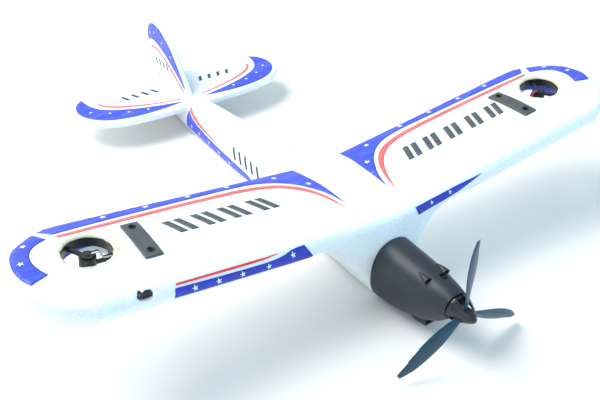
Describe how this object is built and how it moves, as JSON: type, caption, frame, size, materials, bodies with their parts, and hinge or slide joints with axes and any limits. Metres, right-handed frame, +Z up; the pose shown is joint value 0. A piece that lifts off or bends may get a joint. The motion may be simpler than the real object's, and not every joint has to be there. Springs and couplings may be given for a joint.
{
  "type": "powered foam hand-launch glider",
  "caption": "Moulded foam hand-launch model glider with a nose propeller, a ducted fan let into each wing tip, a plastic nose cowl, a foam stabiliser and a foam fin.",
  "frame": {"origin": "under the middle of the bounding box, on the plane that the flat belly rests on", "axes": "+Y from nose to tail, +X to the right of a viewer who stands in front of the nose looking towards the tail, +Z up"},
  "size_m": [0.48, 0.49, 0.0951],
  "materials": {
    "adhesive": "hot-melt adhesive bead",
    "battery_wrap": "foil pouch",
    "board": "glass-fibre laminate",
    "bush_brass": "sintered",
    "can_steel": "plated",
    "clip_plastic": "satin moulded plastic",
    "component_black": "moulded",
    "cowl_plastic": "satin moulded plastic",
    "endcap_plastic": "moulded plastic",
    "fan_plastic": "moulded plastic",
    "foam": "expanded polypropylene bead foam, moulded skin",
    "inner_plastic": "moulded plastic",
    "pin_metal": "plated",
    "propeller_plastic": "flexible moulded plastic",
    "ring_plastic": "moulded plastic",
    "rotor_copper": "wound copper cup",
    "screw_steel": "black oxide",
    "shaft_steel": "ground",
    "socket_plastic": "moulded",
    "spinner_plastic": "satin moulded plastic",
    "switch_plastic": "moulded",
    "wire_black": "silicone insulation",
    "wire_blue": "silicone insulation",
    "wire_red": "silicone insulation",
    "wire_white": "silicone insulation"
  },
  "bodies": {
    "airframe": {"battery": "battery_wrap", "battery_lead_black": "wire_black", "battery_lead_red": "wire_red", "battery_tray": "inner_plastic", "board_components": "component_black", "charge_socket": "socket_plastic", "charge_socket_pins": "pin_metal", "clip_lower_plate_left": "clip_plastic", "clip_lower_plate_right": "clip_plastic", "clip_plate_left": "clip_plastic", "clip_plate_right": "clip_plastic", "clip_screws_left": "screw_steel", "clip_screws_right": "screw_steel", "control_board": "board", "duct_glue_bead_left": "adhesive", "duct_glue_bead_right": "adhesive", "duct_ring_left": "ring_plastic", "duct_ring_right": "ring_plastic", "fan_motor_bush_left": "bush_brass", "fan_motor_bush_right": "bush_brass", "fan_motor_can_left": "can_steel", "fan_motor_can_right": "can_steel", "fan_motor_end_cap_left": "endcap_plastic", "fan_motor_end_cap_right": "endcap_plastic", "fan_wire_left_black": "wire_black", "fan_wire_left_white": "wire_white", "fan_wire_right_blue": "wire_blue", "fan_wire_right_red": "wire_red", "fin_foam": "foam", "fuselage_foam": "foam", "nose_cowl": "cowl_plastic", "nose_motor_bush_front": "bush_brass", "nose_motor_bush_rear": "bush_brass", "nose_motor_can": "can_steel", "nose_motor_end_cap": "endcap_plastic", "nose_motor_lead_black": "wire_black", "nose_motor_lead_red": "wire_red", "nose_motor_mount": "inner_plastic", "power_switch_body": "switch_plastic", "stabiliser_foam": "foam", "wing_foam": "foam"},
    "propeller_unit": {"propeller": "propeller_plastic", "spinner": "spinner_plastic", "spinner_back_plate": "spinner_plastic", "propeller_shaft": "shaft_steel", "nose_motor_rotor": "rotor_copper"},
    "fan_left_unit": {"fan_left": "fan_plastic", "fan_shaft_left": "shaft_steel", "fan_motor_rotor_left": "rotor_copper"},
    "fan_right_unit": {"fan_right": "fan_plastic", "fan_shaft_right": "shaft_steel", "fan_motor_rotor_right": "rotor_copper"},
    "switch_slider": {"power_switch_slider": "switch_plastic"}
  },
  "joints": [
    {"name": "propeller_spin", "type": "hinge", "parent": "airframe", "child": "propeller_unit", "pos_m": [0, -0.23524, 0.03538], "axis": [0, -0.9994, -0.0349], "continuous": true},
    {"name": "fan_left_spin", "type": "hinge", "parent": "airframe", "child": "fan_left_unit", "pos_m": [-0.1946, -0.10989, 0.08198], "axis": [0.1214, -0.0346, 0.992], "continuous": true},
    {"name": "fan_right_spin", "type": "hinge", "parent": "airframe", "child": "fan_right_unit", "pos_m": [0.1946, -0.10989, 0.08198], "axis": [-0.1214, -0.0346, 0.992], "continuous": true},
    {"name": "power_switch_slide", "type": "slide", "parent": "airframe", "child": "switch_slider", "axis": [0, 0.9994, 0.0349], "range_m": [-0.001, 0.001]}
  ]
}
